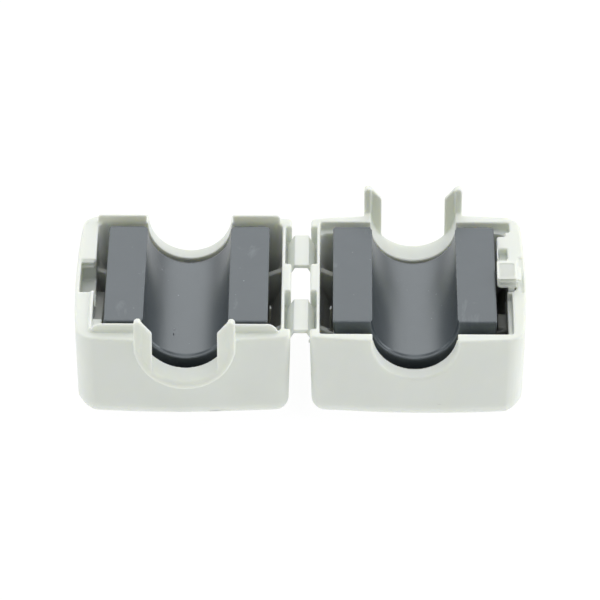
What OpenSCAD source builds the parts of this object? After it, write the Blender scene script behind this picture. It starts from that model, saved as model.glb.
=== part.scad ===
// Clip-on ferrite bead, lying open on its back.
// Two half cases joined by two moulded straps, each holding one half of a
// split ferrite core. X runs across both halves, Y along the cable, +Z up.
// The origin is on the surface it lies on, midway between the two halves.

/* [Half case] */
// Height of one half case, from its outer floor to the parting plane
half_h = 14.75; // [14:0.05:16]
// Distance from the hinge side of a half case to its latch side, outside
case_w = 34.4; // [34:0.1:36]
// Half length of the case over its end walls, at their widest
case_half_len = 19.15; // [19:0.05:19.5]
// Gap between the two half cases when they lie open
hinge_gap = 3.0; // [2.8:0.1:3.2]
// Thickness of the floor
floor_t = 1.5; // [1.2:0.1:1.6]
// Radius of the rounding along the bottom edges
bottom_r = 2.6; // [2:0.1:3]
// How far the walls lean in towards the floor
draft = 0.3; // [0.1:0.05:0.4]
// Each rim stops this far below the parting plane
rim_clear = 0.05; // [0.03:0.01:0.1]

/* [Rims] */
// Height of the tongue on the end walls of the catch half
tongue_h = 1.4; // [0.8:0.05:1.5]
// Inner face of the tongue and of those end walls, from mid length
tongue_in = 16.1; // [16:0.05:16.2]
// Outer face of the tongue, from mid length
tongue_out = 16.6; // [16.5:0.05:16.6]
// Depth of the rebate that takes the tongue, in the latch half
rebate_d = 1.65; // [1.6:0.05:2]
// Outer face of the rebate, from mid length
rebate_out = 16.7; // [16.7:0.05:16.9]
// Inner face of the end walls of the latch half, from mid length
latch_end_in = 15.9; // [15.7:0.05:16]

/* [Cable collars] */
// Radius of the plain cable notches
notch_r = 6.72; // [6.7:0.01:6.8]
// How much deeper the plain notch of the latch half is cut
notch_drop = 0.4; // [0:0.1:0.5]
// Inside radius of a collar
bore_r = 6.9; // [6.85:0.01:7]
// Outside radius of a collar
collar_r = 7.95; // [7.8:0.05:8.1]
// Outer end of a collar, from mid length
collar_end = 20.9; // [20.7:0.1:21.5]
// Height of the ears above the parting plane
ear_h = 4.4; // [4:0.1:5.2]
// Half of the gap between the two gripping tabs
tab_half = 5.1; // [4.8:0.1:5.6]

/* [Ferrite] */
// Width of a ferrite half, which is the diameter of its round back
core_w = 25.9; // [25.5:0.1:26.1]
// Length of a ferrite half
core_l = 28.5; // [28:0.1:28.8]
// Radius of the cable channel in the ferrite
core_r = 6.69; // [6:0.01:6.8]
// How far a ferrite half stands above the parting plane while the bead is open
core_proud = 0.55; // [0.4:0.05:0.55]
// How far a ferrite half is pressed down while the bead closes
core_sink = 0.57; // [0.57:0.01:0.65]

/* [Hinge straps] */
// Width of a strap, along the cable
strap_w = 9.05; // [8:0.05:9.5]
// Middle of each strap, from mid length
strap_y = 9.65; // [9.4:0.05:9.9]
// Width of the pocket around a strap
pocket_w = 11.3; // [11:0.1:11.6]
// Depth of the pocket into the hinge wall
pocket_d = 1.05; // [1:0.05:1.1]
// Half distance between the two bends of a strap
bend_x = 0.95; // [0.9:0.01:1]
// Depth of those bends below the parting plane
bend_d = 1.25; // [1.22:0.01:1.3]
// Depth of a strap's outer bends inside the pocket walls
root_in = 0.55; // [0.5:0.01:0.6]
// Thickness of the sloping webs
web_t = 0.4; // [0.3:0.05:0.4]
// Thickness of the flat bridge
bridge_t = 0.67; // [0.5:0.01:0.67]

/* [Latch] */
// Ends of the latch head along the cable
head_y0 = -3.5; // [-3.6:0.1:-3.4]
// Rear end of the latch head
head_y1 = 2.15; // [2.05:0.05:2.2]
// Height of the latch head above the parting plane
head_h = 1.8; // [1.75:0.05:1.9]
// Depth of the catch pocket
catch_d = 4.0; // [3.6:0.1:4.4]

/* [Hidden] */

plastic = [0.87, 0.89, 0.87];
ferrite = [0.44, 0.45, 0.48];
eps = 0.02;

u0 = hinge_gap / 2;             // hinge side, outside
u1 = u0 + case_w;               // latch side, outside
in0 = u0 + 1.55;                // hinge side, inside
in1 = u1 - 3.1;                 // latch side, inside
mid_u = (in0 + in1) / 2 + 0.13; // cable axis of a half
rim = half_h - rim_clear;
core_top = half_h + core_proud;

// Strap: bends at (-root_u,-root_d), (-bend_x,-bend_d) and their mirror twins,
// placed so that the strap is straight when the bead is shut.
root_u = u0 + root_in;
b_run = root_u - bend_x;
root_d = (b_run * b_run / (bend_d - bend_x) + bend_x + bend_d) / 2;
web_l = root_d - bend_x;
pocket_floor = half_h - root_d - web_t / 2 - 0.05;

// ---- outline helpers ----------------------------------------------------
end_bow = 128;     // radius of the bowed end walls
side_bow = 225;    // radius of the bowed latch side
bow_u = u0 + 18.5; // where an end wall stands out most

function end_y(u, ins) = case_half_len - end_bow + sqrt(pow(end_bow - ins, 2) - pow(u - bow_u, 2));
function side_u(y, ins) = u1 - side_bow + sqrt(pow(side_bow - ins, 2) - y * y);

// bowed part of the outline between the corners, moved in by ins
function bow_ring(ins) = concat(
  [for (i = [0:12]) let (u = u0 + 3 + i * (case_w - 6.4) / 12) [u, end_y(u, ins)]],
  [for (i = [0:8]) let (y = 15 - i * 30 / 8) [side_u(y, ins), y]],
  [for (i = [12:-1:0]) let (u = u0 + 3 + i * (case_w - 6.4) / 12) [u, -end_y(u, ins)]],
  [[u0 + ins, -15], [u0 + ins, 15]]);

// rectangle with round corners as a list of points
function rr(x0, y0, x1, y1, r, n = 6) = [for (c = [[x1 - r, y1 - r, 0], [x0 + r, y1 - r, 90],
  [x0 + r, y0 + r, 180], [x1 - r, y0 + r, 270]]) for (i = [0:n])
  [c[0] + r * cos(c[2] + 90 * i / n), c[1] + r * sin(c[2] + 90 * i / n)]];

module box(x0, y0, z0, x1, y1, z1) translate([x0, y0, z0]) cube([x1 - x0, y1 - y0, z1 - z0]);
module along_y(y0, y1) translate([0, y1, 0]) rotate([90, 0, 0]) linear_extrude(y1 - y0) children();

// ---- half case ----------------------------------------------------------
module outer_body() hull() {
  for (e = [[0, 0.42], [0.1, 0.14], [0.3, 0]])
    translate([0, 0, rim - e[1] - eps]) linear_extrude(eps) polygon(bow_ring(e[0]));
  for (a = [0:15:90])
    translate([0, 0, bottom_r * (1 - sin(a))])
      linear_extrude(eps) polygon(bow_ring(draft + bottom_r * (1 - cos(a))));
  for (s = [-1, 1]) {
    for (e = [[0, 0.42], [0.1, 0.14], [0.3, 0]]) {
      translate([u0 + 0.9, s * (end_y(u0 + 0.9, 0) - 0.95), rim - e[1] - eps]) cylinder(r = 0.9 - e[0], h = eps, $fn = 32);
      translate([u1 - 3.75, s * (end_y(u1 - 3.75, 0) - 3.2), rim - e[1] - eps]) cylinder(r = 3.2 - e[0], h = eps, $fn = 40);
    }
    translate([u0 + draft + 2.2, s * (end_y(u0 + 2.5, draft) - 2.3), 2.2]) sphere(r = 2.2, $fn = 32);
    translate([u1 - 4.05, s * (end_y(u1 - 4.05, draft) - 2.9), 2.9]) sphere(r = 2.9, $fn = 32);
  }
}

// room for the ferrite half, with rounded long edges at the bottom
module cavity(e) {
  intersection() {
    translate([0, 0, floor_t]) linear_extrude(half_h) polygon(rr(in0, -e, in1, e, 1.2));
    along_y(-20, 20) polygon(concat(
      [for (i = [0:8]) [in0 + 8 - 8 * cos(90 * i / 8), floor_t + 8 - 8 * sin(90 * i / 8)]],
      [for (i = [0:8]) [in1 - 8 + 8 * sin(90 * i / 8), floor_t + 8 - 8 * cos(90 * i / 8)]],
      [[in1, half_h + 1], [in0, half_h + 1]]));
  }
}

// gussets that keep the round back of the ferrite in place, clear of its travel
module cradle_ribs() difference() {
  for (y = [-8.6, 8.6]) along_y(y - 0.6, y + 0.6) {
    polygon([[in0 - 0.3, floor_t - 0.3], [mid_u, floor_t - 0.3], [in0 + 3.2, half_h - 5.4], [in0 - 0.3, half_h - 3.9]]);
    polygon([[in1 + 0.3, floor_t - 0.3], [mid_u, floor_t - 0.3], [in1 - 3.2, half_h - 5.4], [in1 + 0.3, half_h - 3.9]]);
  }
  translate([mid_u, 0, core_top - core_sink / 2]) rotate([90, 0, 0])
    cylinder(r = core_w / 2 + core_sink / 2 + 0.12, h = 60, center = true, $fn = 96);
}

// low ribs at both ends that keep the ferrite from sliding along the case
module end_ribs(e) for (s = [-1, 1]) mirror([0, s < 0 ? 1 : 0, 0]) for (k = [-4.6, 4.6])
  box(mid_u + k - 0.6, core_l / 2 + 0.15, floor_t - 0.3, mid_u + k + 0.6, e + 0.3, 6.9);

// slim finger on the front gusset, its tip leaning against the ferrite's edge
module keeper_finger() {
  along_y(-8.5, -8.2) polygon([[in0 + 1.66, floor_t + 4], [in0 + 1.9, floor_t + 4], [in0 + 1.9, rim - 0.2],
    [in0 + 1.8, rim - 0.1], [in0 + 1.5, rim - 0.7], [in0 + 1.66, rim - 0.9]]);
}

// rib beside the ferrite on the latch side, running down from a block in the front corner
module side_rib() translate([in1 + 0.2, 0, 0]) rotate([0, -90, 0]) linear_extrude(1.72)
  polygon([[floor_t + 4, -14.9], [rim - 0.4, -14.9], [rim - 0.4, -12.2], [rim - 1.2, -11.8], [rim - 4.6, 2.6], [floor_t + 4, 2.6]]);

// block beside the ferrite in the latch half
module side_block() box(in1 - 1.5, -8.6, floor_t + 4, in1 + 0.2, -4.6, rim - 4.0);

// half-round collar with two ears and two gripping tabs; s is the end it is on
module collar_outside(s) mirror([0, s < 0 ? 1 : 0, 0]) {
  // half tube
  difference() {
    translate([mid_u, collar_end, half_h]) rotate([90, 0, 0])
      cylinder(r = collar_r, h = collar_end - 17.4, $fn = 96);
    box(0, 0, rim, u1 + 5, 30, half_h + 20);
  }
  // ears, clear of the end wall above the rim
  for (k = [-1, 1]) translate([mid_u, 0, half_h]) mirror([k < 0 ? 1 : 0, 0, 0]) {
    along_y(case_half_len + 0.3, collar_end) polygon([[bore_r - 0.1, -1.5], [collar_r, -1.5], [collar_r, ear_h - 0.55],
      [collar_r - 0.12, ear_h - 0.25], [collar_r - 0.36, ear_h - 0.05], [collar_r - 0.6, ear_h],
      [collar_r - 0.85, ear_h - 0.04], [collar_r - 1.1, ear_h - 0.16], [bore_r - 0.1, ear_h - 0.25]]);
    along_y(collar_end - 0.85, collar_end - 0.12) polygon([[tab_half, -4.9], [bore_r - 1, -4.9], [bore_r + 0.3, -3], [bore_r + 0.3, ear_h - 0.5],
      [bore_r - 0.1, ear_h - 0.3], [bore_r - 0.3, ear_h - 0.4], [tab_half, ear_h - 0.7 - (bore_r - 0.3 - tab_half)]]);
  }
}

// bore of a collar: plain tube with a small bell mouth, the tabs stay
module collar_bore(s) mirror([0, s < 0 ? 1 : 0, 0]) {
  translate([mid_u, 0, half_h]) rotate([-90, 0, 0]) {
    cylinder(r = bore_r, h = collar_end - 0.6, $fn = 96);
    translate([0, 0, collar_end - 0.61]) cylinder(r1 = bore_r, r2 = bore_r + 0.3, h = 0.62, $fn = 96);
  }
}

// plain round notch with a broken outer edge, cut deeper by drop
module plain_notch(s, drop) mirror([0, s < 0 ? 1 : 0, 0])
  translate([mid_u, 0, half_h]) rotate([-90, 0, 0]) {
    cylinder(r = notch_r, h = 25, $fn = 96);
    if (drop > 0) translate([0, drop, 0]) cylinder(r = notch_r, h = 25, $fn = 96);
    translate([0, drop, case_half_len - 0.5]) cylinder(r1 = notch_r, r2 = notch_r + 0.8, h = 0.8, $fn = 96);
  }

module strap_pockets() for (s = [-1, 1]) {
  box(u0 - 1, s * strap_y - pocket_w / 2, pocket_floor, u0 + pocket_d, s * strap_y + pocket_w / 2, half_h + 1);
  // slot behind the foot of the web
  box(u0 + pocket_d - 0.32, s * strap_y - strap_w / 2, pocket_floor - 2.2, u0 + pocket_d, s * strap_y + strap_w / 2, pocket_floor + 1);
}

// s is the end with the collar: -1 for the catch half, 1 for the latch half;
// e is the inner face of the end walls
module half_case(s, e) difference() {
  union() {
    difference() {
      outer_body();
      cavity(e);
    }
    intersection() { union() { cradle_ribs(); end_ribs(e); } box(u0 + 0.5, -18, 0.5, u1 - 1, 18, half_h); }
    difference() {
      intersection() { collar_outside(s); box(0, -40, -1, u1 + 5, 40, half_h + 10); }
      cavity(e);
    }
  }
  difference() {
    intersection() { collar_bore(s); box(0, -40, -1, u1 + 5, 40, half_h + 20); }
    // the tabs are left in the bore
    mirror([0, s < 0 ? 1 : 0, 0]) for (k = [-1, 1]) translate([mid_u, 0, half_h]) mirror([k < 0 ? 1 : 0, 0, 0])
      along_y(collar_end - 0.85, collar_end - 0.12) polygon([[tab_half, -6], [bore_r + 1, -6], [bore_r + 1, ear_h + 1],
        [tab_half, ear_h + 1]]);
    // and so are the ears
    mirror([0, s < 0 ? 1 : 0, 0]) for (k = [-1, 1]) translate([mid_u, 0, half_h]) mirror([k < 0 ? 1 : 0, 0, 0])
      box(bore_r - 0.1, case_half_len + 0.3, 0, bore_r + 3, collar_end + 1, ear_h + 1);
  }
  plain_notch(-s, s > 0 ? notch_drop : 0);
  strap_pockets();
}

// tongue along the end walls of the catch half
module tongue() {
  for (s = [-1, 1]) mirror([0, s < 0 ? 1 : 0, 0]) {
    along_y(tongue_in, tongue_out) {
      polygon(concat(s < 0 ? [[in0 + 0.35, rim - 0.3], [in0 + 0.4, rim + 0.05], [in0 + 0.75, rim + tongue_h - 0.7],
          [in0 + 1.3, rim + tongue_h - 0.22], [in0 + 2.0, rim + tongue_h]]
          : [[in0 + 0.35, rim - 0.3], [in0 + 0.4, rim + tongue_h - 0.4], [in0 + 0.85, rim + tongue_h]],
        [[mid_u - notch_r - 0.25, rim + tongue_h], [mid_u - notch_r - 0.25, rim - 0.3]]));
      polygon(concat([[mid_u + notch_r + 0.25, rim - 0.3], [mid_u + notch_r + 0.25, rim + tongue_h]],
        s < 0 ? [[in1 - 1.3, rim + tongue_h], [in1 - 0.5, rim + tongue_h - 0.35], [in1 + 0.1, rim + 0.35]]
              : [[in1 - 0.35, rim + tongue_h], [in1 - 0.05, rim + tongue_h - 0.1], [in1 + 0.1, rim + tongue_h - 0.5]],
        [[in1 + 0.2, rim - 0.3]]));
    }
  }
  // low lip along the front of the latch side
  box(in1, -16.2, rim - 0.3, in1 + 0.5, -4.9, rim + 0.4);
}

module catch_pocket() {
  box(in1 - 0.2, -4.7, half_h - catch_d, u1 - 0.75, 5.1, half_h + 1);
  // undercut for the nose of the latch, below the lip of the outer wall
  along_y(-2.9, 1.6) polygon([[u1 - 1, half_h - 0.7], [u1 - 0.45, half_h - 0.7], [u1 - 0.45, half_h - 2.2], [u1 - 1, half_h - 2.75]]);
}

module catch_half_shell() color(plastic) mirror([1, 0, 0]) {
  difference() {
    union() {
      half_case(-1, tongue_in);
      difference() { tongue(); box(0, -14.9, 0, in1 - 0.02, 14.9, 30); }
      side_rib();
      keeper_finger();
    }
    catch_pocket();
  }
  // two ridges across the rear wall of the catch pocket
  for (z = [half_h - 0.75, half_h - 1.6]) translate([0, 0, z])
    box(in1 + 0.25, 4.65, 0, u1 - 0.5, 5.3, 0.4);
}

module rebate() {
  difference() {
    translate([0, 0, rim - rebate_d]) linear_extrude(5) polygon(rr(in0, -rebate_out, in1 + 0.75, rebate_out, 0.45));
    // the latch side keeps its face behind the guide boss and the latch
    box(in1, -4.4, 0, u1, rebate_out - 3.0, 30);
  }
}

// slot for the latch arm, and the shallow seat around the latch head
module latch_slot() {
  box(in1 - 0.3, head_y0 - 0.12, half_h - 6.2, in1 + 1.42, head_y1 + 0.25, half_h + 1);
  box(in1 - 0.3, head_y0 - 0.7, rim - 0.45, in1 + 1.42, head_y1 + 0.25, half_h + 1);
  box(in1 + 1.9, -4.5, rim - 0.25, u1 - 0.4, 6.0, half_h + 1);
}

// guide boss level with the rim, with a small square recess
module guide_boss() difference() {
  union() {
    translate([0, 0, rim - 3.2]) linear_extrude(3.2) polygon(rr(in1 - 1.42, 2.75, in1 + 1, 12.4, 0.55));
    box(in1 - 0.2, 2.75, rim - 3.2, in1 + 1, 12.4, rim);
  }
  box(in1 - 1.15, 5.5, rim - 2.1, in1 + 0.3, 8.75, rim + 1);
  // lead-in towards the recess
  along_y(2.2, 5.6) polygon([[in1 - 2, rim - 0.55], [in1 + 0.35, rim - 0.55], [in1 + 0.35, rim + 1], [in1 - 2, rim + 1]]);
}

module latch_half_shell() color(plastic) {
  difference() {
    union() {
      half_case(1, latch_end_in);
      side_block();
    }
    rebate();
    latch_slot();
  }
  keeper_finger();
  guide_boss();
}

// latch arm with its head; it bends inwards about its foot
module latch_hook() color(plastic) {
  ua = in1 + 0.15;
  difference() {
    union() {
      // arm standing in the slot of the latch wall
      box(ua, head_y0, half_h - 5.9, in1 + 1.16, head_y1, half_h + 0.2);
      // head, overhanging inwards
      translate([0, 0, half_h + 0.1]) linear_extrude(head_h - 0.1) polygon(concat(
        [for (i = [0:6]) [in1 - 1.58 + 0.6 - 0.6 * sin(15 * i), head_y0 + 0.6 - 0.6 * cos(15 * i)]],
        [for (i = [0:6]) [in1 - 1.58 + 0.5 - 0.5 * cos(15 * i), head_y1 - 0.5 + 0.5 * sin(15 * i)]],
        [[in1 + 1.55, head_y1 - 0.15], [in1 + 1.55, head_y0 + 0.15]]));
      // nose that goes under the catch lip
      along_y(-2.6, 1.3) polygon([[in1 + 1.4, half_h + 0.76], [in1 + 2.28, half_h + 0.76], [in1 + 2.28, half_h + 0.95],
            [in1 + 1.4, half_h + 1.55]]);
    }
    // two grooves across the front of the head
    box(in1 - 1.2, head_y0 - 1, half_h + head_h - 0.44, in1 + 1.7, head_y0 + 0.22, half_h + head_h - 0.14);
    box(in1 - 1.2, head_y0 - 1, half_h + head_h - 1.28, in1 + 1.7, head_y0 + 0.22, half_h + head_h - 0.94);
    // shallow panel sunk into the top
    translate([0, 0, half_h + head_h - 0.1]) linear_extrude(1) polygon(rr(in1 - 1.28, head_y0 + 0.7, in1 + 1.2, head_y1 - 0.85, 0.6, 4));
  }
}

// ---- hinge straps -------------------------------------------------------
module strap_web(y) translate([0, y, half_h]) {
  ang = atan2(root_d - bend_d, b_run);
  translate([root_u * -1, 0, -root_d]) rotate([0, -ang, 0]) {
    translate([0, -strap_w / 2, -web_t / 2]) cube([web_l, strap_w, web_t]);
    for (x = [0, web_l]) translate([x, 0, 0]) rotate([90, 0, 0])
      cylinder(r = web_t / 2, h = strap_w, center = true, $fn = 32);
  }
}

module strap_bridge(y) translate([0, y, half_h]) difference() {
  along_y(-strap_w / 2, strap_w / 2) polygon([[-bend_x + 0.12, -bend_d + web_t / 2], [bend_x - 0.12, -bend_d + web_t / 2],
    [bend_x - 0.12, -bend_d + web_t / 2 - bridge_t], [-bend_x + 0.12, -bend_d + web_t / 2 - bridge_t]]);
  for (s = [-1, 1]) translate([s * bend_x, 0, -bend_d]) rotate([90, 0, 0])
    cylinder(r = web_t / 2 + 0.05, h = strap_w + 1, center = true, $fn = 32);
}

module front_strap_catch_web() color(plastic) strap_web(-strap_y);
module rear_strap_catch_web() color(plastic) strap_web(strap_y);
module front_strap_bridge() color(plastic) strap_bridge(-strap_y);
module rear_strap_bridge() color(plastic) strap_bridge(strap_y);
module front_strap_latch_web() color(plastic) mirror([1, 0, 0]) strap_web(-strap_y);
module rear_strap_latch_web() color(plastic) mirror([1, 0, 0]) strap_web(strap_y);

// ---- ferrite ------------------------------------------------------------
// half of a round split core, cable channel up
module ferrite_half() translate([mid_u, 0, core_top]) difference() {
  intersection() {
    rotate([90, 0, 0]) union() {
      cylinder(r = core_w / 2, h = core_l - 0.7, center = true, $fn = 128);
      for (m = [0, 1]) mirror([0, 0, m]) translate([0, 0, core_l / 2 - 0.36])
        cylinder(r1 = core_w / 2, r2 = core_w / 2 - 0.35, h = 0.36, $fn = 128);
    }
    box(-core_w, -core_l, -core_w, core_w, core_l, 0);
  }
  rotate([90, 0, 0]) {
    cylinder(r = core_r, h = core_l + 2, center = true, $fn = 128);
    for (m = [0, 1]) mirror([0, 0, m]) translate([0, 0, core_l / 2 - 0.7])
      cylinder(r1 = core_r + 0.18, r2 = core_r + 0.22, h = 1, $fn = 128);
  }
}

module catch_ferrite_half() color(ferrite) mirror([1, 0, 0]) ferrite_half();
module latch_ferrite_half() color(ferrite) ferrite_half();

catch_half_shell();
latch_half_shell();
latch_hook();
front_strap_catch_web();
rear_strap_catch_web();
front_strap_bridge();
rear_strap_bridge();
front_strap_latch_web();
rear_strap_latch_web();
catch_ferrite_half();
latch_ferrite_half();
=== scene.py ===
"""Clip-on ferrite bead lying open: looks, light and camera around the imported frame."""
import math

import bmesh
import bpy
import numpy as np
from mathutils import Matrix, Vector
from mathutils import noise as mnoise


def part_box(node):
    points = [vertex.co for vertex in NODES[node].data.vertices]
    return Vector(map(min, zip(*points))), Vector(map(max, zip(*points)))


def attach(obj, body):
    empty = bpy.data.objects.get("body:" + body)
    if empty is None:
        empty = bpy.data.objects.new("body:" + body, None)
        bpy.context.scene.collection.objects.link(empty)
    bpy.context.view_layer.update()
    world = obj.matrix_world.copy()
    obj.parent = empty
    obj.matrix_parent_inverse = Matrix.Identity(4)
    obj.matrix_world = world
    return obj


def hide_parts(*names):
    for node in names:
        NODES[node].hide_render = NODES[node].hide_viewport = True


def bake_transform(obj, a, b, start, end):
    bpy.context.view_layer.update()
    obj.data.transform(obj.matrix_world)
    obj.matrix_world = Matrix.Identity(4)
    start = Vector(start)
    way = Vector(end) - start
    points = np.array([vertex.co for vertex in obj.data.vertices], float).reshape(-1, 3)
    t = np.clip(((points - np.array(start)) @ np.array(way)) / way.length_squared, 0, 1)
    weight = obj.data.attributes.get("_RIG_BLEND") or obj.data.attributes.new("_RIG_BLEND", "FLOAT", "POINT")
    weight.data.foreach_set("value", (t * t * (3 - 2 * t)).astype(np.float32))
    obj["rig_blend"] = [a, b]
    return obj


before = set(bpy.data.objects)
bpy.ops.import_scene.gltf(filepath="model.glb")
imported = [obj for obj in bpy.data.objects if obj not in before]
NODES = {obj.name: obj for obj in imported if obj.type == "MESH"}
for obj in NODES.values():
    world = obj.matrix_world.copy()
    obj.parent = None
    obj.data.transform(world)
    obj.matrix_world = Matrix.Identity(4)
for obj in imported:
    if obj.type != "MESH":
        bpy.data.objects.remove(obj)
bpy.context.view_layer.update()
scene = bpy.context.scene
MM = 1000.0

# ------------------------------------------------------------------ helpers


def link(ob):
    scene.collection.objects.link(ob)
    return ob


def baked(ob):
    """Applies the object's modifiers to its mesh."""
    deps = bpy.context.evaluated_depsgraph_get()
    deps.update()
    mesh = bpy.data.meshes.new_from_object(ob.evaluated_get(deps))
    ob.modifiers.clear()
    old = ob.data
    ob.data = mesh
    if old.users == 0:
        bpy.data.meshes.remove(old)
    return mesh


def node_copy_mm(node, name):
    """A welded copy of a CAD node, in millimetres while it is worked on."""
    mesh = NODES[node].data.copy()
    mesh.name = name
    mesh.materials.clear()
    bm = bmesh.new()
    bm.from_mesh(mesh)
    bmesh.ops.remove_doubles(bm, verts=bm.verts, dist=2e-7)
    bmesh.ops.scale(bm, vec=(MM, MM, MM), verts=bm.verts)
    bm.to_mesh(mesh)
    bm.free()
    for attr in [a.name for a in mesh.attributes if a.name == "custom_normal"]:
        mesh.attributes.remove(mesh.attributes[attr])
    return link(bpy.data.objects.new(name, mesh))


def triangles(mesh):
    return sum(len(p.vertices) - 2 for p in mesh.polygons)


def remesh(ob, voxel, smooth=3, factor=0.5, limit=190000):
    """Turns the solid into one even skin with softened edges."""
    m = ob.modifiers.new("skin", "REMESH")
    m.mode = "VOXEL"
    m.voxel_size = voxel
    m.adaptivity = 0
    if smooth:
        s = ob.modifiers.new("soft", "SMOOTH")
        s.factor = factor
        s.iterations = smooth
    mesh = baked(ob)
    tris = triangles(mesh)
    if tris > limit:
        d = ob.modifiers.new("light", "DECIMATE")
        d.ratio = limit / tris
        mesh = baked(ob)
    return mesh


def add_block(ob, lo, hi):
    """Join a box to a mesh; the remesh makes them one."""
    bm = bmesh.new()
    bm.from_mesh(ob.data)
    at = Matrix.Translation([(a + b) / 2 for a, b in zip(lo, hi)])
    size = Matrix.Diagonal([b - a for a, b in zip(lo, hi)] + [1])
    bmesh.ops.create_cube(bm, size=1.0, matrix=at @ size)
    bm.to_mesh(ob.data)
    bm.free()


def cut_block(ob, lo, hi):
    """Cut a box out of a closed mesh."""
    me = bpy.data.meshes.new("cutter")
    cutter = link(bpy.data.objects.new("cutter", me))
    add_block(cutter, lo, hi)
    mod = ob.modifiers.new("cut", "BOOLEAN")
    mod.operation = "DIFFERENCE"
    mod.solver = "EXACT"
    mod.object = cutter
    dg = bpy.context.evaluated_depsgraph_get()
    dg.update()
    new = bpy.data.meshes.new_from_object(ob.evaluated_get(dg))
    ob.modifiers.clear()
    ob.data = new
    bpy.data.objects.remove(cutter)
    bpy.data.meshes.remove(me)


def to_metres(ob):
    ob.data.transform(Matrix.Scale(1 / MM, 4))
    for p in ob.data.polygons:
        p.use_smooth = True
    ob.data.update()


def prism(name, outline, y0, y1, rows=1):
    """A solid with the outline (x, z) in millimetres, running along Y."""
    bm = bmesh.new()
    rings = []
    for k in range(rows + 1):
        y = y0 + (y1 - y0) * k / rows
        rings.append([bm.verts.new((x, y, z)) for x, z in outline])
    n = len(outline)
    for a, b in zip(rings, rings[1:]):
        for i in range(n):
            bm.faces.new((a[i], a[(i + 1) % n], b[(i + 1) % n], b[i]))
    bm.faces.new(rings[0][::-1])
    bm.faces.new(rings[-1])
    bmesh.ops.recalc_face_normals(bm, faces=bm.faces)
    mesh = bpy.data.meshes.new(name)
    bm.to_mesh(mesh)
    bm.free()
    return link(bpy.data.objects.new(name, mesh))


# ---------------------------------------------------------------- materials


def new_material(name):
    mat = bpy.data.materials.new(name)
    mat.use_nodes = True
    nt = mat.node_tree
    nt.nodes.clear()
    out = nt.nodes.new("ShaderNodeOutputMaterial")
    bsdf = nt.nodes.new("ShaderNodeBsdfPrincipled")
    nt.links.new(bsdf.outputs[0], out.inputs[0])
    return mat, nt, bsdf


def noise(nt, scale, detail=2.0, rough=0.5, coord=None, distortion=0.0):
    n = nt.nodes.new("ShaderNodeTexNoise")
    n.inputs["Scale"].default_value = scale
    n.inputs["Detail"].default_value = detail
    n.inputs["Roughness"].default_value = rough
    n.inputs["Distortion"].default_value = distortion
    if coord is not None:
        nt.links.new(coord, n.inputs["Vector"])
    return n


def ramp(nt, fac, stops):
    r = nt.nodes.new("ShaderNodeValToRGB")
    el = r.color_ramp.elements
    while len(el) < len(stops):
        el.new(0.5)
    for e, (pos, col) in zip(el, stops):
        e.position = pos
        e.color = (*col, 1) if len(col) == 3 else col
    nt.links.new(fac, r.inputs["Fac"])
    return r


def mix(nt, a, b, fac, blend="MIX"):
    m = nt.nodes.new("ShaderNodeMix")
    m.data_type = "RGBA"
    m.blend_type = blend
    socks = [s for s in m.inputs if s.enabled]
    for sock, val in zip(socks, (fac, a, b)):
        if hasattr(val, "is_output"):
            nt.links.new(val, sock)
        elif isinstance(val, (tuple, list)):
            sock.default_value = (*val, 1) if len(val) == 3 else val
        else:
            sock.default_value = val
    return [s for s in m.outputs if s.enabled][0]


def object_coord(nt):
    t = nt.nodes.new("ShaderNodeTexCoord")
    return t.outputs["Object"]


def stretched(nt, coord, scale, turn=(0, 0, 0)):
    m = nt.nodes.new("ShaderNodeMapping")
    m.inputs["Scale"].default_value = scale
    m.inputs["Rotation"].default_value = turn
    nt.links.new(coord, m.inputs["Vector"])
    return m.outputs["Vector"]


def add_bump(nt, bsdf, layers):
    """layers: (height socket, strength, distance in metres), stacked."""
    prev = None
    for height, strength, distance in layers:
        b = nt.nodes.new("ShaderNodeBump")
        b.inputs["Strength"].default_value = strength
        b.inputs["Distance"].default_value = distance
        nt.links.new(height, b.inputs["Height"])
        if prev is not None:
            nt.links.new(prev, b.inputs["Normal"])
        prev = b.outputs["Normal"]
    nt.links.new(prev, bsdf.inputs["Normal"])


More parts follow.
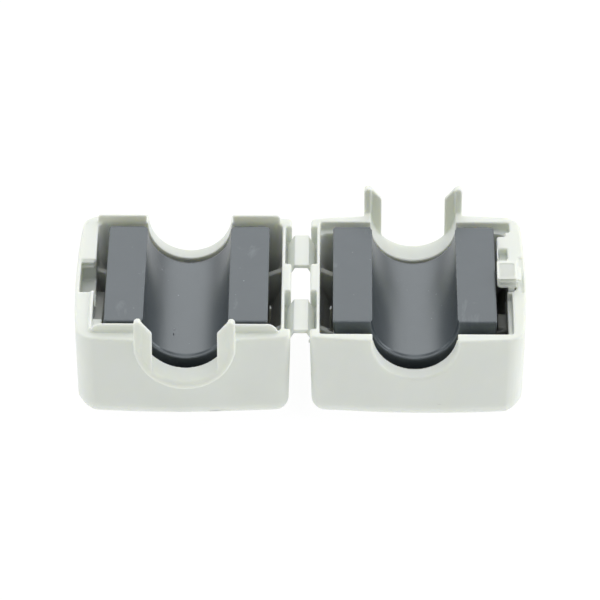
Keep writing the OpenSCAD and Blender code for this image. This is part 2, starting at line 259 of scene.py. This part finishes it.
def make_plastic(name, shade=1.0, depth_shade=False, along=None, patch=None):
    """Moulded polyamide, very light greenish grey, satin, slightly translucent; the optional arguments paint shade
    into its colour.
    """
    mat, nt, b = new_material(name)
    co = object_coord(nt)
    cloud = noise(nt, 85, 3, 0.55, co)
    base = ramp(nt, cloud.outputs["Fac"], [(0.32, (0.762, 0.796, 0.748)), (0.68, (0.784, 0.816, 0.770))])
    flow = noise(nt, 160, 3, 0.6, stretched(nt, co, (1.0, 0.22, 0.5)))
    tint = ramp(nt, flow.outputs["Fac"], [(0.35, (0.985, 0.985, 0.98)), (0.65, (1.0, 1.0, 1.0))])
    colour = mix(nt, base.outputs["Color"], tint.outputs["Color"], 1.0, "MULTIPLY")
    if shade != 1.0:
        colour = mix(nt, colour, (shade,) * 3, 1.0, "MULTIPLY")
    if depth_shade:
        # painted shade: the hollow darkens towards its floor
        split = nt.nodes.new("ShaderNodeSeparateXYZ")
        nt.links.new(co, split.inputs[0])
        depth = nt.nodes.new("ShaderNodeMapRange")
        depth.inputs["From Min"].default_value = RIM_Z - 0.0125
        depth.inputs["From Max"].default_value = RIM_Z - 0.0055
        nt.links.new(split.outputs["Z"], depth.inputs["Value"])
        dark = ramp(nt, depth.outputs["Result"], [(0.0, (0.20, 0.20, 0.185)), (1.0, (1.0, 1.0, 1.0))])
        colour = mix(nt, colour, dark.outputs["Color"], 1.0, "MULTIPLY")
    if along is not None:
        # painted shade: darker from the first to the second place along the case
        split = nt.nodes.new("ShaderNodeSeparateXYZ")
        nt.links.new(co, split.inputs[0])
        way = nt.nodes.new("ShaderNodeMapRange")
        way.inputs["From Min"].default_value = along[0]
        way.inputs["From Max"].default_value = along[1]
        nt.links.new(split.outputs["Y"], way.inputs["Value"])
        dark = ramp(nt, way.outputs["Result"], [(0.0, (along[2],) * 3), (1.0, (along[3],) * 3)])
        colour = mix(nt, colour, dark.outputs["Color"], 1.0, "MULTIPLY")
    if patch is not None:
        # painted shade: a soft-edged darker patch, middle and half size along X and Y
        split = nt.nodes.new("ShaderNodeSeparateXYZ")
        nt.links.new(co, split.inputs[0])
        parts = []
        for axis, middle, half in (("X", patch[0], patch[2]), ("Y", patch[1], patch[3])):
            off = nt.nodes.new("ShaderNodeMath")
            off.operation = "SUBTRACT"
            nt.links.new(split.outputs[axis], off.inputs[0])
            off.inputs[1].default_value = middle
            size = nt.nodes.new("ShaderNodeMath")
            size.operation = "ABSOLUTE"
            nt.links.new(off.outputs[0], size.inputs[0])
            edge = nt.nodes.new("ShaderNodeMapRange")
            edge.interpolation_type = "SMOOTHSTEP"
            edge.inputs["From Min"].default_value = half - 0.0003
            edge.inputs["From Max"].default_value = half + 0.0002
            edge.inputs["To Min"].default_value = 1.0
            edge.inputs["To Max"].default_value = 0.0
            nt.links.new(size.outputs[0], edge.inputs["Value"])
            parts.append(edge.outputs["Result"])
        both = nt.nodes.new("ShaderNodeMath")
        both.operation = "MULTIPLY"
        nt.links.new(parts[0], both.inputs[0])
        nt.links.new(parts[1], both.inputs[1])
        dark = ramp(nt, both.outputs[0], [(0.0, (1.0,) * 3), (1.0, (0.84,) * 3)])
        colour = mix(nt, colour, dark.outputs["Color"], 1.0, "MULTIPLY")
    nt.links.new(colour, b.inputs["Base Color"])
    fine = noise(nt, 5200, 2, 0.6, co)
    rough = ramp(nt, fine.outputs["Fac"], [(0.25, (0.40,) * 3), (0.75, (0.52,) * 3)])
    nt.links.new(rough.outputs["Color"], b.inputs["Roughness"])
    wave = noise(nt, 620, 3, 0.5, co)
    add_bump(nt, b, [(wave.outputs["Fac"], 0.10, 0.00006), (fine.outputs["Fac"], 0.10, 0.00003)])
    b.inputs["IOR"].default_value = 1.53
    b.inputs["Specular IOR Level"].default_value = 0.5
    b.inputs["Subsurface Weight"].default_value = 0.75
    b.inputs["Subsurface Radius"].default_value = (1.0, 0.95, 0.72)
    b.inputs["Subsurface Scale"].default_value = 0.0010
    return mat


def make_ferrite(name, ior, rough_low, rough_high, rub_amount):
    """Sintered ferrite: dark blue-grey with a grain, specks and faint scuffs."""
    mat, nt, b = new_material(name)
    co = object_coord(nt)
    cloud = noise(nt, 240, 4, 0.6, co)
    base = ramp(nt, cloud.outputs["Fac"], [(0.3, (0.015, 0.021, 0.026)), (0.7, (0.021, 0.027, 0.033))])
    grain = noise(nt, 3600, 3, 0.7, co)
    spots = ramp(nt, grain.outputs["Fac"], [(0.34, (0.75,) * 3), (0.66, (1.22,) * 3)])
    col = mix(nt, base.outputs["Color"], spots.outputs["Color"], 1.0, "MULTIPLY")
    # pale rubbed marks, in short strokes
    smear = noise(nt, 210, 5, 0.68, stretched(nt, co, (1.0, 0.42, 1.0), (0, 0, 0.6)), 0.7)
    rub = ramp(nt, smear.outputs["Fac"], [(0.61, (0,) * 3), (0.76, (rub_amount,) * 3)])
    col = mix(nt, col, (0.085, 0.093, 0.102), rub.outputs["Color"])
    # a few tiny bright grains
    dust = noise(nt, 1500, 1, 0.5, co)
    dots = ramp(nt, dust.outputs["Fac"], [(0.785, (0,) * 3), (0.81, (1,) * 3)])
    col = mix(nt, col, (0.22, 0.23, 0.24), dots.outputs["Color"])
    nt.links.new(col, b.inputs["Base Color"])
    rough = ramp(nt, grain.outputs["Fac"], [(0.3, (rough_low,) * 3), (0.7, (rough_high,) * 3)])
    nt.links.new(rough.outputs["Color"], b.inputs["Roughness"])
    add_bump(nt, b, [(cloud.outputs["Fac"], 0.12, 0.00008), (grain.outputs["Fac"], 0.22, 0.00003)])
    b.inputs["IOR"].default_value = ior
    b.inputs["Specular Tint"].default_value = (0.86, 0.95, 1.0, 1)
    return mat


RIM_Z = 0.0147
PLASTIC = make_plastic("case_plastic")
# painted shade: this copy darkens with depth in the hollow
PLASTIC_DEPTH_SHADE = make_plastic("case_plastic_hollow_painted_shade", depth_shade=True)
# painted shade: a slightly darker copy of the plastic for two small marks on the latch half
PLASTIC_MILD_SHADE = make_plastic("case_plastic_painted_mild_shade", shade=0.86)
# painted shade on the hook's sunk top panel
PLASTIC_PANEL_SHADE = make_plastic("case_plastic_panel_painted_shade", patch=(0.0328, -0.00095, 0.00125, 0.0023))
# painted shade along the catch half's side rib in the hollow
PLASTIC_RIB_SHADE = make_plastic("case_plastic_rib_painted_shade", along=(-0.0121, 0.0015, 0.52, 0.16))
# painted shade, about a quarter as bright, for the fingers' stems and the latch half's side block
PLASTIC_SHADE_STRONG = make_plastic("case_plastic_shaded", shade=0.27)
FERRITE = make_ferrite("ferrite_sintered", 2.10, 0.34, 0.44, 0.6)
FERRITE_PIT = make_ferrite("ferrite_pit", 1.4, 0.8, 0.9, 0.0)
CHIP, chip_tree, chip_shader = new_material("ferrite_chip")
chip_shader.inputs["Base Color"].default_value = (0.28, 0.30, 0.32, 1)
chip_shader.inputs["Roughness"].default_value = 0.6
FERRITE_GROUND = make_ferrite("ferrite_ground", 2.02, 0.40, 0.50, 1.0)

# ------------------------------------------------------------------- pieces


def skin_piece(node, name, body, voxel, mat, smooth=3, limit=190000, shape=None, cuts=(), blocks=()):
    ob = node_copy_mm(node, name)
    for lo, hi in cuts:
        cut_block(ob, lo, hi)
    for lo, hi in blocks:
        add_block(ob, lo, hi)
    remesh(ob, voxel, smooth=smooth, limit=limit)
    if shape is not None:
        shape(ob)
    to_metres(ob)
    ob.data.materials.append(mat)
    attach(ob, body)
    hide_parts(node)
    return ob


IN0, IN1, RIM = 3.05, 32.8, 14.7


def shade_hollow(ob, side):
    """Paint shade into the faces of the ferrite's hollow, the fingers, the side block and the rib; side is -1 for the
    catch half.
    """
    me = ob.data
    for m in (PLASTIC_DEPTH_SHADE, PLASTIC_SHADE_STRONG, PLASTIC_RIB_SHADE):
        me.materials.append(m)
    n = len(me.polygons)
    c = np.empty(n * 3)
    me.polygons.foreach_get("center", c)
    c = c.reshape(-1, 3) * MM
    u, y, z = c[:, 0] * side, c[:, 1], c[:, 2]

    def within(u0, u1, y0, y1, z0, z1):
        return (u > u0) & (u < u1) & (y > y0) & (y < y1) & (z > z0) & (z < z1)

    index = np.zeros(n, np.int32)
    index[within(IN0 - 0.1, IN1 + 0.1, -16.3, 16.3, 1.5, RIM - 2.2)] = 1
    index[within(IN0 + 1.3, IN0 + 2.1, -8.8, -7.9, 2.0, RIM - 0.8)] = 2
    if side < 0:
        index[within(IN1 - 1.7, IN1 - 0.05, -12.1, 2.8, 5.0, RIM - 0.5)] = 3
    else:
        index[within(IN1 - 3.4, IN1 - 0.02, -15.2, -4.5, 2.0, RIM - 2.0)] = 2
    me.polygons.foreach_set("material_index", index)
    me.update()


catch = skin_piece("catch_half_shell", "catch_shell_skin", "catch_half", 0.155, PLASTIC, limit=175000)
shade_hollow(catch, -1)
# the latch half: the guide's recess reaches into the wall, and the seat of the latch ends in a low lip
latch = skin_piece("latch_half_shell", "latch_shell_skin", "latch_half", 0.155, PLASTIC, limit=175000,
                   cuts=[((IN1 - 1.2, 5.55, RIM - 1.35), (IN1 + 0.28, 8.7, RIM + 1))],
                   blocks=[((IN1 - 1.3, 5.3, RIM - 2.6), (IN1 - 0.05, 8.9, RIM - 1.35)),
                           ((IN1 + 1.1, -4.25, RIM - 1.0), (IN1 + 1.5, -3.6, RIM - 0.02))])
shade_hollow(latch, 1)

hook = skin_piece("latch_hook", "latch_hook_skin", "latch_arm", 0.07, PLASTIC, smooth=2, limit=70000,
                  cuts=[((IN1 - 1.2, -3.8, 16.22), (IN1 + 1.8, -3.14, 16.48)), ((IN1 - 1.2, -3.8, 15.46), (IN1 + 1.8, -3.14, 15.74))])
# the hook's top faces take the copy with painted shade on its sunk panel
hook.data.materials.append(PLASTIC_PANEL_SHADE)
hook_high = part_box("latch_hook")[1][2]
for p in hook.data.polygons:
    if p.normal.z > 0.5 and p.center.z > hook_high - 0.0004:
        p.material_index = 1


def chipped(node):
    """Tiny breaks along the sharp ground edges of a ferrite half."""
    lo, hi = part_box(node)
    lo, hi = np.array(lo) * MM, np.array(hi) * MM
    mid = (lo[0] + hi[0]) / 2
    half, top, end = (hi[0] - lo[0]) / 2, hi[2], (hi[1] - lo[1]) / 2
    bore = 6.69

    def shape(ob):
        me = ob.data
        co = np.empty(len(me.vertices) * 3)
        me.vertices.foreach_get("co", co)
        co = co.reshape(-1, 3)
        u = np.abs(co[:, 0] - mid)
        rest = (co[:, 1], co[:, 2])
        near = np.minimum.reduce([np.abs(u - bore), np.abs(half - u), np.abs(end - np.abs(rest[0]))])
        pick = np.where((top - rest[1] < 0.4) & (near < 0.42))[0]
        for i in pick:
            p = co[i]
            n1 = mnoise.noise(Vector((p[0] * 0.9, p[1] * 1.1, 3.0)))
            n2 = mnoise.noise(Vector((p[0] * 3.1, p[1] * 3.1, 9.0)))
            chip = max(0.0, n1 * 0.7 + n2 * 0.6 - 0.30)
            if chip > 0:
                co[i, 2] -= min(0.16, chip * 0.55) * (1 - near[i] / 0.42)
        me.vertices.foreach_set("co", co.reshape(-1))
        me.update()

    return shape


for node, body in (("catch_ferrite_half", "catch_core"), ("latch_ferrite_half", "latch_core")):
    core = skin_piece(node, node.replace("half", "skin"), body, 0.16, FERRITE, smooth=2, limit=120000, shape=chipped(node))
    core.data.materials.append(FERRITE_GROUND)
    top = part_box(node)[1][2] - 0.0004
    for p in core.data.polygons:
        if p.normal.z > 0.9 and p.center.z > top:
            p.material_index = 1

# The strap, seen along Y: a flat bridge and a web that slopes down to its foot
# in the pocket of the hinge wall. Heights are taken from the parting plane.
bridge_low, bridge_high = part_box("front_strap_bridge")
PLANE = bridge_high[2] * MM + 1.05
BRIDGE = [(-1.0, -1.05), (1.2, -1.05), (1.27, -1.14), (1.30, -1.30), (1.05, -1.66), (0.95, -1.72),
          (-0.92, -1.72), (-1.0, -1.66), (-1.20, -1.30), (-1.12, -1.14)]
WEB = [(0.88, -1.10), (1.06, -1.10), (1.14, -1.17), (2.20, -2.97), (2.23, -3.10), (2.22, -3.62), (1.74, -3.62),
       (1.78, -3.34), (1.84, -3.14), (0.80, -1.40), (0.78, -1.22)]


def strap_piece(node, name, outline, body, other=None, flip=1):
    lo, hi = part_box(node)
    pts = [(flip * x, PLANE + z) for x, z in outline]
    ob = prism(name, pts, lo[1] * MM, hi[1] * MM, rows=24)
    remesh(ob, 0.055, smooth=5, limit=26000)
    to_metres(ob)
    ob.data.materials.append(PLASTIC)
    if other is None:
        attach(ob, body)
    else:
        z0, z1 = (PLANE - 2.5) / MM, (PLANE - 3.35) / MM
        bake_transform(ob, body, other, start=(0, 0, z0), end=(0, 0, z1))
    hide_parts(node)
    return ob


for place in ("front", "rear"):
    strap_piece(place + "_strap_bridge", place + "_bridge_skin", BRIDGE, "bridges")
    strap_piece(place + "_strap_latch_web", place + "_latch_web_skin", WEB, "latch_webs", "latch_half")
    strap_piece(place + "_strap_catch_web", place + "_catch_web_skin", WEB, "catch_webs", "catch_half", flip=-1)

def speck(name, body, at, size, mat, turn=0.0):
    """A small flat lump on a surface: centre and size in millimetres."""
    bm = bmesh.new()
    bmesh.ops.create_icosphere(bm, subdivisions=3, radius=0.5)
    for v in bm.verts:
        v.co *= 1 + 0.25 * mnoise.noise(v.co * 2.3 + Vector(at))
    bm.transform(Matrix.Translation(Vector(at)) @ Matrix.Rotation(turn, 4, "Z") @ Matrix.Diagonal(Vector((*size, 1))))
    mesh = bpy.data.meshes.new(name)
    bm.to_mesh(mesh)
    bm.free()
    ob = link(bpy.data.objects.new(name, mesh))
    to_metres(ob)
    ob.data.materials.append(mat)
    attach(ob, body)


# flash left by the mould, and a chip with its pit in one channel
speck("catch_front_flash", "catch_half", (-13.4, -18.06, 1.02), (2.0, 0.3, 0.3), PLASTIC)
# these two marks carry painted shade in their darker plastic
speck("latch_front_flash", "latch_half", (21.7, -18.81, 2.85), (1.3, 0.07, 0.12), PLASTIC_MILD_SHADE)
speck("latch_edge_burr", "latch_half", (1.46, -16.5, 13.1), (0.26, 0.3, 0.6), PLASTIC_MILD_SHADE)
speck("channel_chip", "catch_core", (-20.2, -6.7, 8.955), (0.46, 0.56, 0.09), CHIP)
speck("channel_pit", "catch_core", (-20.15, -8.15, 8.94), (0.16, 0.95, 0.07), FERRITE_PIT, 0.12)

# ------------------------------------------------------------ floor and light

mat, nt, b = new_material("studio_floor")
b.inputs["Base Color"].default_value = (0.12, 0.12, 0.12, 1)
b.inputs["Roughness"].default_value = 0.9
b.inputs["Specular IOR Level"].default_value = 0.0
b.inputs["Emission Color"].default_value = (1, 1, 1, 1)
b.inputs["Emission Strength"].default_value = 0.92
me = bpy.data.meshes.new("studio_floor")
me.from_pydata([(-4, -4, 0), (4, -4, 0), (4, 4, 0), (-4, 4, 0)], [], [(0, 1, 2, 3)])
floor = link(bpy.data.objects.new("studio_floor", me))
floor.location.z = -0.00002
me.materials.append(mat)

world = bpy.data.worlds.new("studio")
scene.world = world
world.use_nodes = True
bg = world.node_tree.nodes["Background"]
bg.inputs["Color"].default_value = (1, 1, 1, 1)
bg.inputs["Strength"].default_value = 0.535


def area(name, loc, aim, width, depth, power):
    data = bpy.data.lights.new(name, "AREA")
    data.shape = "RECTANGLE"
    data.size = width
    data.size_y = depth
    data.energy = power
    ob = link(bpy.data.objects.new(name, data))
    ob.location = loc
    ob.rotation_euler = (Vector(aim) - Vector(loc)).to_track_quat("-Z", "Y").to_euler()
    return ob


area("top_light", (0, 0.2, 1.2), (0, 0, 0), 0.8, 0.8, 2.5)
area("back_light", (0, 1.2, 0.78), (0, 0, 0.01), 2.6, 0.8, 9.8)
area("left_light", (-1.1, 0.1, 0.45), (0, 0, 0.01), 0.6, 0.6, 2.7)
area("right_light", (1.1, 0.1, 0.45), (0, 0, 0.01), 0.6, 0.6, 5.4)

scene.view_settings.view_transform = "Standard"
scene.view_settings.look = "None"

elev = math.radians(32.38)
turn = math.radians(0.43)
target = Vector((-0.00014, 0.00030, 0.01008))
cam = bpy.data.cameras.new("camera")
cam.lens = 340.86
cam.sensor_width = 36
cam.clip_start = 0.02
cam.clip_end = 20
cam_ob = link(bpy.data.objects.new("camera", cam))
away = Matrix.Rotation(turn, 3, "Z") @ Vector((0, -math.cos(elev), math.sin(elev)))
cam_ob.location = target + 0.908 * away
cam_ob.rotation_euler = (math.pi / 2 - elev, 0, turn)
scene.camera = cam_ob
